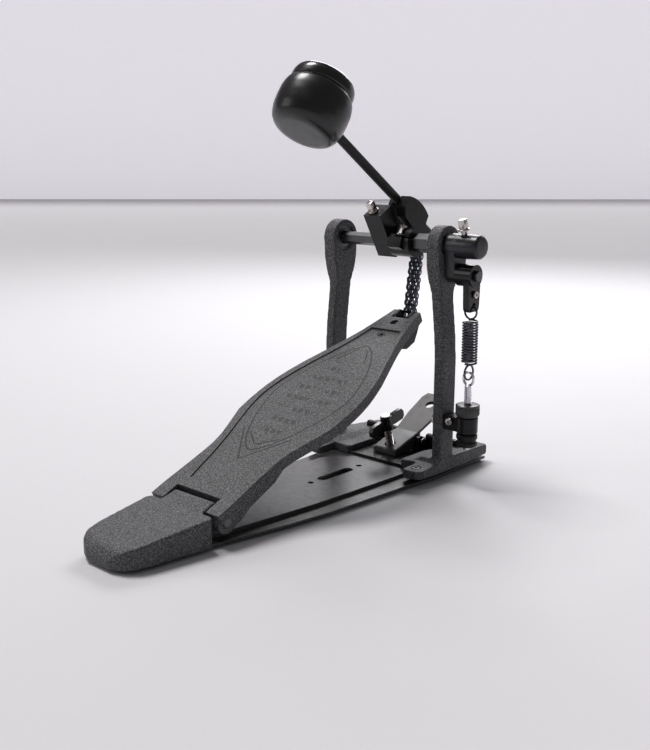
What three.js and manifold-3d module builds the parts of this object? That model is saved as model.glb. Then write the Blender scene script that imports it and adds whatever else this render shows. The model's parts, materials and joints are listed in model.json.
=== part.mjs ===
// Bass drum pedal: single pedal with a chain drive, a tilted heel plate and one side spring.
// Millimetres, +Z up, +Y from the heel towards the drum, +X to the player's right (spring side).
// The origin is on the floor, beneath the middle of the shaft.
import * as THREE from 'three'
import { mergeVertices } from 'three/addons/utils/BufferGeometryUtils.js'
import Module from 'manifold-3d'

const wasm = await Module()
wasm.setup()

// ---- driving dimensions ----
const GAP = 0.3                     // running gap between pieces that move on each other
const SHAFT_Z = 183.6               // height of the rocker shaft
const HEX_R = 5.2                   // hex shaft, corner radius
const POST_X = 51.5                 // post centre at shaft level
const POST_FOOT_X = 55.5            // post centre near the floor
const POST_BASE_Z = 18.1            // where the post stands on its foot
const POST_T = 8.5                  // post thickness across X
const POST_W = 17.5                 // post width along Y
const HEAD_R = 14.6                 // bearing head on each post
const HEAD_HALF = 5.75              // half the bearing head's thickness
const BEARING_R = 9.6
const BEARING_BORE = 5.5

const HINGE_Y = -206                // heel hinge pin
const HINGE_Z = 16.6
const PIN_R = 2.6
const BOARD_Y0 = -194.4             // point on the footboard's top line
const BOARD_Z0 = 32
const BOARD_TILT = Math.atan(0.4254)
const BOARD_T = 8                   // depth of the footboard's rim
const TOE_NOTCH = 8.9               // half width of the notch for the chain

const TILT = THREE.MathUtils.degToRad(55.7)   // beater rod's lean from upright
const ROD_X = 3
const ROD_OFFSET = 28.8             // rod's distance from the shaft axis
const ROD_R = 3.6
const HEAD_AT = 130.3               // beater head along the rod
const CAM_R = 35
const CAM_BOLT_X = 16

const CHAIN_PITCH = 6.35
const CHAIN_LINKS = 5               // pieces, two pitches each
const ANCHOR = [36.91, 181.02]      // chain's upper pin (Y, Z)
const TOE_PIN = [26.88, 118.32]     // chain's lower pin (Y, Z)
const ROW_X = 2.9                   // each chain row's distance from the middle
const PLATE_R = 2.6
const CHAIN_PIN_R = 1.0

const SPRING_X = 78
const ROCKER_R = 21.2               // swivel pin's distance from the shaft
const COIL_R = 6.2
const COIL_WIRE = 0.8
const COIL_TOP = 129
const COIL_BOTTOM = 96
const EYE_Z = 83.7                 // lower hook's wire, inside the tension rod's eye
const HOOK_TOP_Z = 135.4
const HOOK_TOP_R = 5.2
const HOOK_LOW_R = 5.6
const TENSION_R = 2.85

const JAW_FRONT = [-2.6, 14.7]      // front edge of the hoop clamp's jaw (Y, Z)
const JAW_SLOPE = 0.3               // rise per mm as far as the bend
const JAW_REAR_SLOPE = 0.51
const JAW_BEND = 26.5
const JAW_END = 70
const JAW_PIN = [26, 17]            // (Y, Z)
const WING_FOOT = [5.3, 12.9]       // point on the wing bolt's axis (Y, Z)
const deg = THREE.MathUtils.degToRad
const WING_LEAN = deg(15.2)

// ---- solids ----
function solid (geometry, matrix = null) {
  const g = geometry.clone()
  if (matrix) g.applyMatrix4(matrix)
  g.deleteAttribute('normal')
  g.deleteAttribute('uv')
  const merged = mergeVertices(g, 1e-4)
  return new wasm.Manifold(new wasm.Mesh({
    numProp: 3,
    vertProperties: new Float32Array(merged.attributes.position.array),
    triVerts: new Uint32Array(merged.index.array)
  }))
}

function outline (points, holes = []) {
  const shape = new THREE.Shape(points.map(p => new THREE.Vector2(p[0], p[1])))
  for (const hole of holes) shape.holes.push(new THREE.Path(hole.map(p => new THREE.Vector2(p[0], p[1]))))
  return shape
}

function prism (points, depth, basis, holes = []) {
  const g = new THREE.ExtrudeGeometry(outline(points, holes), { depth, bevelEnabled: false })
  return solid(g, basis)
}

// outline in (Y, Z), spread along X
function slabX (points, x0, x1, holes = []) {
  const m = new THREE.Matrix4().makeBasis(
    new THREE.Vector3(0, 1, 0), new THREE.Vector3(0, 0, 1), new THREE.Vector3(1, 0, 0))
  m.setPosition(x0, 0, 0)
  return prism(points, x1 - x0, m, holes)
}

// outline in (X, Z), spread along Y
function slabY (points, y0, y1, holes = []) {
  const m = new THREE.Matrix4().makeBasis(
    new THREE.Vector3(1, 0, 0), new THREE.Vector3(0, 0, 1), new THREE.Vector3(0, -1, 0))
  m.setPosition(0, y1, 0)
  return prism(points, y1 - y0, m, holes)
}

// outline in (X, Y), spread along Z
function slabZ (points, z0, z1, holes = []) {
  const m = new THREE.Matrix4().makeTranslation(0, 0, z0)
  return prism(points, z1 - z0, m, holes)
}

function cylinder (from, to, r0, r1 = r0, segments = 20) {
  const a = new THREE.Vector3(...from)
  const b = new THREE.Vector3(...to)
  const length = a.distanceTo(b)
  const g = new THREE.CylinderGeometry(r1, r0, length, segments)
  const q = new THREE.Quaternion().setFromUnitVectors(
    new THREE.Vector3(0, 1, 0), b.clone().sub(a).normalize())
  const m = new THREE.Matrix4().compose(a.clone().add(b).multiplyScalar(0.5), q, new THREE.Vector3(1, 1, 1))
  return solid(g, m)
}

// turned body: profile of [radius, height] from axis to axis, along a direction
function turned (profile, base, direction, segments = 24) {
  const g = new THREE.LatheGeometry(profile.map(p => new THREE.Vector2(p[0], p[1])), segments)
  const q = new THREE.Quaternion().setFromUnitVectors(
    new THREE.Vector3(0, 1, 0), new THREE.Vector3(...direction).normalize())
  const m = new THREE.Matrix4().compose(new THREE.Vector3(...base), q, new THREE.Vector3(1, 1, 1))
  return solid(g, m)
}

function circle (y, z, r, segments = 24, start = 0, sweep = 360) {
  const out = []
  const n = sweep === 360 ? segments : segments + 1
  for (let i = 0; i < n; i++) {
    const a = deg(start + sweep * i / segments)
    out.push([y + r * Math.cos(a), z + r * Math.sin(a)])
  }
  return out
}

// slot shape around two centres
function stadium (a, b, r, segments = 6) {
  const heading = THREE.MathUtils.radToDeg(Math.atan2(b[1] - a[1], b[0] - a[0]))
  return [
    ...circle(a[0], a[1], r, segments, heading + 90, 180),
    ...circle(b[0], b[1], r, segments, heading - 90, 180)
  ]
}

const union = (...parts) => parts.reduce((a, b) => a.add(b))
const mirrored = list => [...list, ...list.slice().reverse().map(p => [-p[0], p[1]])]

// ---- groups: one for each body that moves, placed at the line or point it moves about ----
const carrier = (name, parent, x, y, z) => {
  const made = new THREE.Group()
  made.name = name
  const origin = parent ? parent.getWorldPosition(new THREE.Vector3()) : new THREE.Vector3()
  made.position.set(x, y, z).sub(origin)
  if (parent) parent.add(made)
  made.updateWorldMatrix(true, false)
  return made
}
const pedal = carrier('pedal', null, 0, 0, 0)
const treadle = carrier('treadle', pedal, 0, HINGE_Y, HINGE_Z)
const rotor = carrier('rotor', pedal, 0, 0, SHAFT_Z)
const beater = carrier('beater', rotor, ROD_X, 0, SHAFT_Z)
const chain = carrier('chain', rotor, 0, ...ANCHOR)
const swivel = carrier('swivel', rotor, SPRING_X, 0, SHAFT_Z - ROCKER_R)
const springEnd = carrier('spring_end', swivel, SPRING_X, 0, EYE_Z)
const adjuster = carrier('adjuster', pedal, SPRING_X, 0, 60)
const clamp = carrier('clamp', pedal, 0, ...JAW_PIN)
const wingBolt = carrier('wing_bolt', pedal, 0, ...WING_FOOT)

// turns a finished body into a named mesh of a group, measured from the group's own origin
function piece (name, body, finish, parent = pedal) {
  const data = body.getMesh()
  const g = new THREE.BufferGeometry()
  g.setAttribute('position', new THREE.BufferAttribute(new Float32Array(data.vertProperties), 3))
  g.setIndex(new THREE.BufferAttribute(new Uint32Array(data.triVerts), 1))
  const origin = parent.getWorldPosition(new THREE.Vector3())
  g.translate(-origin.x, -origin.y, -origin.z)
  g.computeVertexNormals()
  const mesh = new THREE.Mesh(g, new THREE.MeshStandardMaterial(finish))
  mesh.name = name
  parent.add(mesh)
  return mesh
}

const look = (color, roughness, metalness) => ({ color, roughness, metalness })
const COAT = look(0x4a4a4d, 0.62, 0.25)      // speckled powder coat
const BLACK = look(0x141416, 0.38, 0.3)      // satin black metal
const GLOSS = look(0x0c0c0d, 0.22, 0)        // moulded beater
const ROD_BLACK = look(0x101011, 0.5, 0.1)
const CHAIN_BLACK = look(0x1c1d22, 0.3, 0.8)
const SPRING_BLACK = look(0x18181b, 0.2, 0.7)
const NICKEL = look(0xb4aca6, 0.25, 1)
const CHROME = look(0xd2d2d6, 0.1, 1)
const SHAFT_STEEL = look(0x67676a, 0.38, 1)
const SATIN = look(0x3a3739, 0.36, 0.6)      // smooth charcoal metal
const RUBBER = look(0x101010, 0.9, 0)
const PLASTIC = look(0x1a1a1a, 0.55, 0)

// ---- base plate: flat flange with a raised middle, a slot and two holes ----
const flange = mirrored([[24, -262], [30.5, -218], [42.2, -160], [47.5, -122], [52.8, -40], [56.4, -10],
  [55, 62]])
const raised = mirrored([[19, -262], [24, -218], [30, -160], [34, -122], [37, -60], [38, -24], [38, 58]])
let plate = union(slabZ(flange, 2.1, 4.1), slabZ(raised, 2.1, 7))
plate = plate.subtract(slabZ(raised.map(([x, y]) => [x * 0.93, y > 0 ? y - 2 : y < -250 ? y + 2 : y]), 2,
  5))
plate = plate.subtract(slabZ(stadium([0, -78], [0, -49], 4.2), 0, 10))
for (const y of [-91.5, -35.5]) plate = plate.subtract(cylinder([0, y, 0], [0, y, 10], 2.3, 2.3, 16))
piece('base_plate', plate, SATIN)

const frontPad = mirrored([[50, -24], [53, -8], [52, 60]])
piece('front_grip_pad', slabZ(frontPad, 0, 1.9), RUBBER)
piece('rear_grip_pad', slabZ(mirrored([[19, -259], [22, -226]]), 0, 1.9), RUBBER)

// ---- heel plate: cover over the base plate's end, with a hinge tongue ----
const heelSide = [
  [-284, 2.2], [-217.6, 2.2], [-217.6, 11], [-212.5, 8.4], [-203, 9.4], [-200.8, 12],
  [-201, 19], [-204.2, 26.6], [-205.4, 27.2], [-217.6, 23.2], [-240, 20.8], [-262, 18.6], [-276, 16.4],
    [-281, 14], [-284, 9.5]
]
const heelPlan = mirrored([
  [12, -284], [20, -280.5], [25.4, -273.5], [27.6, -264], [30, -245], [33.4, -219.4], [31.6, -217.6],
  [21.2, -217.6], [20, -200]
])
let heel = slabX(heelSide, -40, 40).intersect(slabZ(heelPlan, 0, 40))
heel = heel.subtract(slabZ(mirrored([[24.6, -262.6], [27.9, -240], [29.4, -231], [31, -217]]), 0, 4.4))
heel = heel.subtract(slabZ(mirrored([[22, -263], [27, -217]]), 0, 7.3))
heel = heel.subtract(slabZ(mirrored([[22, -219], [22, -198]]), 0, 7.3))
heel = heel.subtract(cylinder([-40, HINGE_Y, HINGE_Z], [40, HINGE_Y, HINGE_Z], PIN_R + 0.05, PIN_R + 0.05,
  20))
piece('heel_plate', heel, COAT)

const pinBody = union(
  cylinder([-33.6, HINGE_Y, HINGE_Z], [33.6, HINGE_Y, HINGE_Z], PIN_R - 0.3, PIN_R - 0.3, 20),
  cylinder([33, HINGE_Y, HINGE_Z], [34.2, HINGE_Y, HINGE_Z], 3.4, 3.4, 16),
  cylinder([-34.2, HINGE_Y, HINGE_Z], [-33, HINGE_Y, HINGE_Z], 3.4, 3.4, 16))
piece('hinge_pin', pinBody, NICKEL)
for (const side of [-1, 1]) {
  const washer = cylinder([side * 22.6, HINGE_Y, HINGE_Z], [side * 23.9, HINGE_Y, HINGE_Z], 5, 5, 20)
    .subtract(cylinder([side * 22, HINGE_Y, HINGE_Z], [side * 25, HINGE_Y, HINGE_Z], PIN_R, PIN_R, 20))
  piece(side < 0 ? 'hinge_bushing_left' : 'hinge_bushing_right', washer, PLASTIC)
}

// ---- footboard, drawn flat along its slope and then tilted ----
const boardMatrix = new THREE.Matrix4().makeRotationX(BOARD_TILT).setPosition(0, BOARD_Y0, BOARD_Z0)
const onBoard = body => body.transform(boardMatrix.elements.slice(0, 16))
const boardOutline = mirrored([
  [34.4, -22], [34.6, -10], [34, 4], [33.5, 16], [33.2, 30], [33.4, 39], [35.2, 49], [38.4, 59], [42, 69],
    [45.6, 79],
  [46.8, 92], [47, 104], [46.6, 113], [45.2, 124], [43, 134], [39.4, 147], [33.6, 163], [28, 178],
    [24.6, 188],
  [20.4, 202], [17.6, 215], [15.4, 226], [13.2, 237.4]
])
const boardRim = mirrored([
  [19.5, 2], [22, 16], [24.8, 32], [29, 50], [34.2, 67], [39.4, 86], [41.6, 100], [41.4, 110], [39.6, 123],
  [36, 137], [31.6, 151], [25.6, 167], [19.6, 185], [16, 200], [15, 207.5]
])
const SKIRT_X = 25                  // inner face of the deep rear walls
const BOARD_CUT = 22.2              // half width of the cut-out for the heel plate's tongue
let board = slabZ(boardOutline, -BOARD_T, 0)
board = board.subtract(slabZ(boardRim, -1, 1))
board = board.subtract(slabZ(boardRim.map(([x, y]) => [x, y + 4]).filter(([, y]) => y < 190),
  -BOARD_T - 1, -4.2))
board = union(board, slabZ(mirrored([[2, 8], [2, 214]]), -BOARD_T, -3))
for (const y of [60, 120]) board = union(board, slabZ(mirrored([[34, y], [34, y + 3]]), -BOARD_T, -3))
board = board.subtract(slabZ(mirrored([[BOARD_CUT, -40], [BOARD_CUT, -7.6]]), -30, 10))
board = board.subtract(slabZ(mirrored([[TOE_NOTCH, 226.5], [TOE_NOTCH, 260]]), -30, 10))
board = onBoard(board)
const onSlope = (s, h) => [
  BOARD_Y0 + s * Math.cos(BOARD_TILT) - h * Math.sin(BOARD_TILT),
  BOARD_Z0 + s * Math.sin(BOARD_TILT) + h * Math.cos(BOARD_TILT)
]
const ear = [
  ...circle(HINGE_Y, HINGE_Z, 7.8, 14, 150, 160), onSlope(-5, -16), onSlope(4, -13.4), onSlope(30, -12),
  onSlope(42, -BOARD_T), onSlope(42, -1), onSlope(-21, -1), onSlope(-22, -3.5)
]
for (const side of [-1, 1]) {
  board = union(board, slabX(ear, side < 0 ? -33.2 : SKIRT_X, side < 0 ? -SKIRT_X : 33.2))
}
board = union(board, slabX([onSlope(-5.4, -3), onSlope(-3, -3), onSlope(-3, -20), onSlope(-5.4, -20)],
  -SKIRT_X, SKIRT_X))
board = board.subtract(cylinder([-60, HINGE_Y, HINGE_Z], [60, HINGE_Y, HINGE_Z], PIN_R, PIN_R, 20))
for (const side of [-1, 1]) {
  board = board.subtract(cylinder([side * 32.8, HINGE_Y, HINGE_Z], [side * 40, HINGE_Y, HINGE_Z], 3.8,
    3.8, 20))
  board = board.subtract(cylinder([side * 20, HINGE_Y, HINGE_Z], [side * SKIRT_X, HINGE_Y, HINGE_Z], 5.4,
    5.4, 24))
}
for (const y of [201.5, 219]) {
  const hole = cylinder([0, y, -20], [0, y, 10], 1.9, 1.9,
    16).add(cylinder([0, y, -3.4], [0, y, 10], 3.5, 3.5, 16))
  board = board.subtract(onBoard(hole))
}
piece('footboard', board, COAT, treadle)

// ---- toe bracket: a channel under the board's toe that holds the chain's end ----
const CHEEK_IN = 5.95
const CHEEK_OUT = 8.3
const cheek = [
  [194, -11.2], [194, -8.3], [226.8, -8.3], [226.8, -3], [230, 0.4], [237, 1], [241.4, -3], [241, -9.5],
  [234.5, -16], [227.5, -22.6], [216.5, -22.8], [210.5, -19.2], [205, -11.2]
]
const channelFloor = [
  [208.6, -17.4], [210.5, -19.2], [216.5, -22.8], [227.5, -22.6], [235, -15.6], [233.5, -14.2],
  [226.6, -20.4], [217.2, -20.5], [211.6, -17.2]
]
let bracket = union(
  slabX(cheek, -CHEEK_OUT, -CHEEK_IN),
  slabX(cheek, CHEEK_IN, CHEEK_OUT),
  slabX(channelFloor, -CHEEK_OUT, CHEEK_OUT),
  slabX([[194, -11.2], [194, -8.3], [223.5, -8.3], [223.5, -11.2]], -CHEEK_OUT, CHEEK_OUT))
for (const y of [201.5, 219]) bracket = bracket.subtract(cylinder([0, y, -14], [0, y, 0], 1.9, 1.9, 16))
piece('toe_bracket', onBoard(bracket), BLACK, treadle)
for (const [name, y] of [['toe_screw_rear', 201.5], ['toe_screw_front', 219]]) {
  const screw = union(
    cylinder([0, y, -12.4], [0, y, -3], 1.6, 1.6, 14),
    cylinder([0, y, -3.1], [0, y, -0.9], 3.2, 3.2, 18))
    .subtract(cylinder([0, y, -2.2], [0, y, 1], 1.5, 1.5, 6))
  piece(name, onBoard(screw), BLACK, treadle)
}

// ---- two cast feet, joined by a flat cross web with a raised front lip ----
const orient = (points, side) => side < 0 ? points.slice().reverse() : points
const footPlan = side => orient([
  [side * 42.4, -33], [side * 44.4, -35], [side * 56, -34], [side * 59.4, -29], [side * 60.6, -8],
  [side * 60.6, 22], [side * 57.5, 60], [side * 54, 63.5], [side * 44, 62], [side * 41, 40],
    [side * 34, 26],
  [side * 28, 20], [side * 26.4, 14], [side * 26.4, -15], [side * 28.4, -17], [side * 42.4, -17]
], side)
const footSide = [
  [-36, 7.2], [64, 7.2], [64, 14.2], [58, 15.4], [20, 18], [-9.6, 18], [-13, 15.4], [-20, 14.2], [-36, 13.4]
]
const innerSlope = side => orient([
  [side * 20, 7], [side * 70, 7], [side * 70, 30], [side * 48, 30], [side * 44, 18.6], [side * 36, 14.6],
    [side * 20, 13.2]
], side)
const FOOT_SCREW = [49.5, -25.5]    // (X, Y)
const feet = [-1, 1].map(side => {
  let foot = slabX(footSide, -70, 70).intersect(slabZ(footPlan(side), 0, 40))
  foot = foot.intersect(slabY(innerSlope(side), -60, 80))
  foot = foot.subtract(cylinder([side * FOOT_SCREW[0], FOOT_SCREW[1], 0],
    [side * FOOT_SCREW[0], FOOT_SCREW[1], 40], 2, 2, 16))
  foot = foot.subtract(cylinder([side * FOOT_SCREW[0], FOOT_SCREW[1], 12],
    [side * FOOT_SCREW[0], FOOT_SCREW[1], 40], 3.6, 3.6, 16))
  return foot
})
piece('left_foot', feet[0], COAT)
piece('right_foot', feet[1], COAT)

const BOLT_UP = [-Math.sin(WING_LEAN), Math.cos(WING_LEAN)]
const BOLT_SIDE = [Math.cos(WING_LEAN), Math.sin(WING_LEAN)]
const onBolt = (w, h) => [
  WING_FOOT[0] + BOLT_SIDE[0] * w + BOLT_UP[0] * h,
  WING_FOOT[1] + BOLT_SIDE[1] * w + BOLT_UP[1] * h
]
const onBolt3 = h => [0, ...onBolt(0, h)]
let web = union(
  slabZ(mirrored([[44, -16], [44, 36]]), 7.2, 9.4),
  slabX([[31, 8], [37, 8], [37, 20.6], [35.6, 22], [32.4, 22], [31, 20.6]], -48, 48))
web = web.subtract(slabZ(mirrored([[16, 29], [16, 40]]), 17.4, 30))
for (const side of [-1, 1]) {
  const lug = slabX(
    [...circle(JAW_PIN[0], JAW_PIN[1], 4.2, 10, 0, 180), [20.6, 9], [31.4, 9]],
    side < 0 ? -15.4 : 12, side < 0 ? -12 : 15.4)
  web = union(web, lug.subtract(cylinder([-20, ...JAW_PIN], [20, ...JAW_PIN], 2, 2, 16)))
}
web = web.subtract(cylinder(onBolt3(-14), onBolt3(4), 3.9, 3.9, 20))
for (const foot of feet) web = web.subtract(foot)
piece('cross_web', web, BLACK)
for (const side of [-1, 1]) {
  const screw = union(
    cylinder([side * FOOT_SCREW[0], FOOT_SCREW[1], 7.4], [side * FOOT_SCREW[0], FOOT_SCREW[1], 12.6], 1.7,
      1.7, 14),
    cylinder([side * FOOT_SCREW[0], FOOT_SCREW[1], 12.3], [side * FOOT_SCREW[0], FOOT_SCREW[1], 13.8],
      3.2, 3.2, 18))
    .subtract(cylinder([side * FOOT_SCREW[0], FOOT_SCREW[1], 12.8],
      [side * FOOT_SCREW[0], FOOT_SCREW[1], 16], 1.5, 1.5, 6))
  piece(side < 0 ? 'foot_screw_left' : 'foot_screw_right', screw, BLACK)
}

// ---- posts ----
const postFace = side => {
  const half = POST_T / 2
  const centre = [[POST_FOOT_X, POST_BASE_Z], [POST_FOOT_X + 0.6, 96], [POST_FOOT_X - 0.4, 114],
    [POST_X + 0.6, 143], [POST_X, 160], [POST_X, 200]]
  const outer = centre.map(([x, z]) => [side * (x + half + (z > 155 ? HEAD_HALF - half : 0)), z])
  const inner = centre.map(([x, z]) => [side * (x - half - (z > 155 ? HEAD_HALF - half : 0)), z]).reverse()
  return orient([...inner.slice().reverse(), ...outer.slice().reverse()], -side)
}
const postSide = [
  [-POST_W / 2, POST_BASE_Z], [POST_W / 2, POST_BASE_Z], [POST_W / 2, 148], [11.6, 159], [13.6, 168],
  ...circle(0, SHAFT_Z, HEAD_R, 20, -16, 212),
  [-13.6, 168], [-11.6, 159], [-POST_W / 2, 148]
]
for (const side of [-1, 1]) {
  let post = slabY(postFace(side), -20, 20).intersect(slabX(postSide, -80, 80))
  post = post.subtract(cylinder([side * 40, 0, SHAFT_Z], [side * 70, 0, SHAFT_Z], BEARING_R + 0.1,
    BEARING_R + 0.1, 28))
  if (side > 0) post = post.subtract(cylinder([40, 0, 48], [70, 0, 48], 3.1, 3.1, 16))
  piece(side < 0 ? 'left_post' : 'right_post', post, COAT)
  const bearing = cylinder([side * 47.2, 0, SHAFT_Z], [side * 55.8, 0, SHAFT_Z], BEARING_R, BEARING_R, 28)
    .subtract(cylinder([side * 40, 0, SHAFT_Z], [side * 60, 0, SHAFT_Z], BEARING_BORE, BEARING_BORE, 24))
  piece(side < 0 ? 'left_bearing' : 'right_bearing', bearing, SHAFT_STEEL)
}

// ---- shaft and what is clamped on it ----
const hex = circle(0, SHAFT_Z, HEX_R, 6, 90)
const shoulder = slabX(circle(0, SHAFT_Z, 7.4, 6, 90), 27.2, 45.2)
piece('hex_shaft', union(slabX(hex, -57, 79), shoulder), SHAFT_STEEL, rotor)

const rise = [Math.cos(TILT), Math.sin(TILT)]     // from the shaft towards the rod (Y, Z)
const along = [-Math.sin(TILT), Math.cos(TILT)]   // up the rod towards the head (Y, Z)
const spot = (n, u) => [rise[0] * n + along[0] * u, SHAFT_Z + rise[1] * n + along[1] * u]
const spot3 = (x, n, u) => [x, ...spot(n, u)]
const shaftBore = (x0, x1) => cylinder([x0, 0, SHAFT_Z], [x1, 0, SHAFT_Z], BEARING_BORE, BEARING_BORE, 24)
const rel = list => list.map(([y, z]) => [y, SHAFT_Z + z])

const camPlate = [
  [5, -5], [15, -9], [25, -6], [27, 0], [26.9, 13.1], ...circle(0, 0, CAM_R, 14, 31.7, 50.3), [0, 27],
    [0, 19], [11.9, 8.4]
]
const saddle = [[2.9, 28.2], [19.2, 0], [20.3, -2], [25, -4], [26.4, 2], [25.6, 12.7]]
const cradle = [[2.9, 28.2], [19.2, 0], [25, -4], [31, 3], [28.4, 17.4], [6, 32.6]]
const anchorLug = [...circle(ANCHOR[0], ANCHOR[1] - SHAFT_Z, 3.2, 10, -100, 180), [23, 11], [17, -6],
  [24, -11]]
const HUB_R = 11.4
const PINCH_DIR = [0.4, 0.9165]     // the pinch bolt's axis (Y, Z), passing in front of the shaft
const pinch = (out, up) => [
  -PINCH_DIR[1] * out + PINCH_DIR[0] * up,
  SHAFT_Z + PINCH_DIR[0] * out + PINCH_DIR[1] * up
]
const pinchLug = [pinch(13.4, -9), pinch(0, -9), pinch(0, 1.5), pinch(13.4, 1.5)]
const pinchRecess = [pinch(16, 1.5), pinch(4.2, 1.5), pinch(4.2, 14), pinch(16, 14)]
let cam = union(
  slabX(rel(camPlate), 6.9, 15),
  cylinder([6.9, 0, SHAFT_Z], [26.4, 0, SHAFT_Z], HUB_R, HUB_R, 32),
  slabX(pinchLug, 10.4, 21.6),
  slabX(rel(saddle), -0.9, 7.2),
  slabX(rel(cradle), -4.4, -0.9),
  slabX(rel(anchorLug), 6.4, 9.4),
  slabX(rel(anchorLug), -9.4, -6.4),
  slabX(rel([[19.4, 0], [20.3, -2], [17.5, -6], [25, -8], [26.5, 2], [22, 8]]), -9.4, -0.9))
cam = cam.subtract(shaftBore(0, 30))
cam = cam.subtract(slabX(pinchRecess, 10.8, 21.2))
cam = cam.subtract(slabX([pinch(16, 0.6), pinch(16, -0.6), pinch(3, -0.6), pinch(3, 0.6)], 14.6, 30))
cam = cam.subtract(cylinder([-12, ANCHOR[0], ANCHOR[1]], [12, ANCHOR[0], ANCHOR[1]], CHAIN_PIN_R + GAP,
  CHAIN_PIN_R + GAP, 16))
cam = cam.subtract(slabX(circle(ANCHOR[0], ANCHOR[1], 4.6, 16), -5.95, 5.95))
piece('cam', cam, BLACK, rotor)
piece('chain_anchor_pin', union(
  cylinder([-10.2, ANCHOR[0], ANCHOR[1]], [10.2, ANCHOR[0], ANCHOR[1]], CHAIN_PIN_R, CHAIN_PIN_R, 12),
  cylinder([9.7, ANCHOR[0], ANCHOR[1]], [10.6, ANCHOR[0], ANCHOR[1]], 1.9, 1.9, 12),
  cylinder([-10.6, ANCHOR[0], ANCHOR[1]], [-9.7, ANCHOR[0], ANCHOR[1]], 1.9, 1.9, 12)), NICKEL, rotor)

// clamp block: rectangle in (Y, Z), leaning 30 degrees
const BLOCK_UP = [-0.501, 0.8654]
const BLOCK_BACK = [0.8654, 0.501]
const corner = (w, v) => [-20.7 + BLOCK_BACK[0] * w - BLOCK_UP[0] * v,
  SHAFT_Z + 20.1 + BLOCK_BACK[1] * w - BLOCK_UP[1] * v]
let block = slabX([corner(0, 0), corner(0, 37.5), corner(2, 39), corner(14.6, 39), corner(16, 37.4),
  corner(16, 0)], -10, 6.6)
block = block.subtract(shaftBore(-20, 20))
block = block.subtract(slabX([corner(6.9, -1), corner(6.9, 21), corner(8.5, 21), corner(8.5, -1)], -20, -1))
piece('clamp_block', block, BLACK, rotor)
// square-headed bolt: its flange sits `gap` above the surface point it is screwed into
const key = (x, from, dir, name, gap = 0, flangeR = 4.3) => {
  const at = s => [x, from[0] + dir[0] * (s + gap), from[1] + dir[1] * (s + gap)]
  const g = new THREE.BoxGeometry(5.2, 7.4, 5.2)
  const q = new THREE.Quaternion().setFromUnitVectors(new THREE.Vector3(0, 1, 0),
    new THREE.Vector3(0, dir[0], dir[1]))
  const m = new THREE.Matrix4().compose(new THREE.Vector3(...at(4.9)), q, new THREE.Vector3(1, 1, 1))
  piece(name, union(
    cylinder(at(0.15), at(1.5), flangeR, flangeR, 20),
    solid(g, m),
    cylinder(at(0.05 - gap), at(1), 2.2, 2.2, 14)), NICKEL, rotor)
}
key(-4.4, corner(6, 0), BLOCK_UP, 'block_bolt')
key(CAM_BOLT_X, pinch(8.6, 1.5), PINCH_DIR, 'cam_bolt', 0, 3.8)
// ---- beater ----
const headFrame = { base: spot3(ROD_X, ROD_OFFSET, HEAD_AT), dir: [0, rise[0], rise[1]] }
piece('beater_rod', cylinder(spot3(ROD_X, ROD_OFFSET, -40), spot3(ROD_X, ROD_OFFSET, HEAD_AT + 18), ROD_R,
  ROD_R, 20), ROD_BLACK, beater)
const headProfile = [
  [0, -20], [17, -20], [21.5, -18.6], [24.6, -15], [26.3, -9], [26.8, -1], [26.5, 6], [25.4, 11],
    [23.6, 13.6], [0, 13.6]
]
const headBody = turned(headProfile, headFrame.base, headFrame.dir, 32)
  .subtract(cylinder(spot3(ROD_X, ROD_OFFSET, HEAD_AT - 40), spot3(ROD_X, ROD_OFFSET, HEAD_AT + 18.3),
    ROD_R + GAP, ROD_R + GAP, 20))
piece('beater_head', headBody, GLOSS, beater)
const capProfile = [[0, 13.9], [22.6, 13.9], [23.6, 15.2], [23.4, 20], [22, 23.6], [18, 25.6], [10, 26.6],
  [0, 26.9]]
piece('beater_cap', turned(capProfile, headFrame.base, headFrame.dir, 32), GLOSS, beater)

// ---- chain ----
const chainStep = [(TOE_PIN[0] - ANCHOR[0]) / (2 * CHAIN_LINKS),
  (TOE_PIN[1] - ANCHOR[1]) / (2 * CHAIN_LINKS)]
const chainPoint = k => [ANCHOR[0] + chainStep[0] * k, ANCHOR[1] + chainStep[1] * k]
for (let i = 0; i < CHAIN_LINKS; i++) {
  const a = chainPoint(2 * i)
  const b = chainPoint(2 * i + 1)
  const c = chainPoint(2 * i + 2)
  let link = cylinder([-5.6, ...b], [5.6, ...b], CHAIN_PIN_R, CHAIN_PIN_R, 10)
  link = union(link, cylinder([-5.6, ...c], [5.6, ...c], CHAIN_PIN_R, CHAIN_PIN_R, 10))
  for (const row of [-ROW_X, ROW_X]) {
    for (const side of [-1, 1]) {
      const inner = [row + side * 0.75, row + side * 1.45].sort((p, q) => p - q)
      const outer = [row + side * 1.75, row + side * 2.45].sort((p, q) => p - q)
      link = union(link, slabX(stadium(a, b, PLATE_R, 5), ...inner),
        slabX(stadium(b, c, PLATE_R, 5), ...outer))
    }
    link = union(link, cylinder([row - 1, ...a], [row + 1, ...a], 1.8, 1.8, 10),
      cylinder([row - 1, ...b], [row + 1, ...b], 1.8, 1.8, 10))
  }
  link = link.subtract(cylinder([-6, ...a], [6, ...a], CHAIN_PIN_R + GAP, CHAIN_PIN_R + GAP, 10))
  piece(`chain_link_${i + 1}`, link, CHAIN_BLACK, chain)
}

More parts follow.
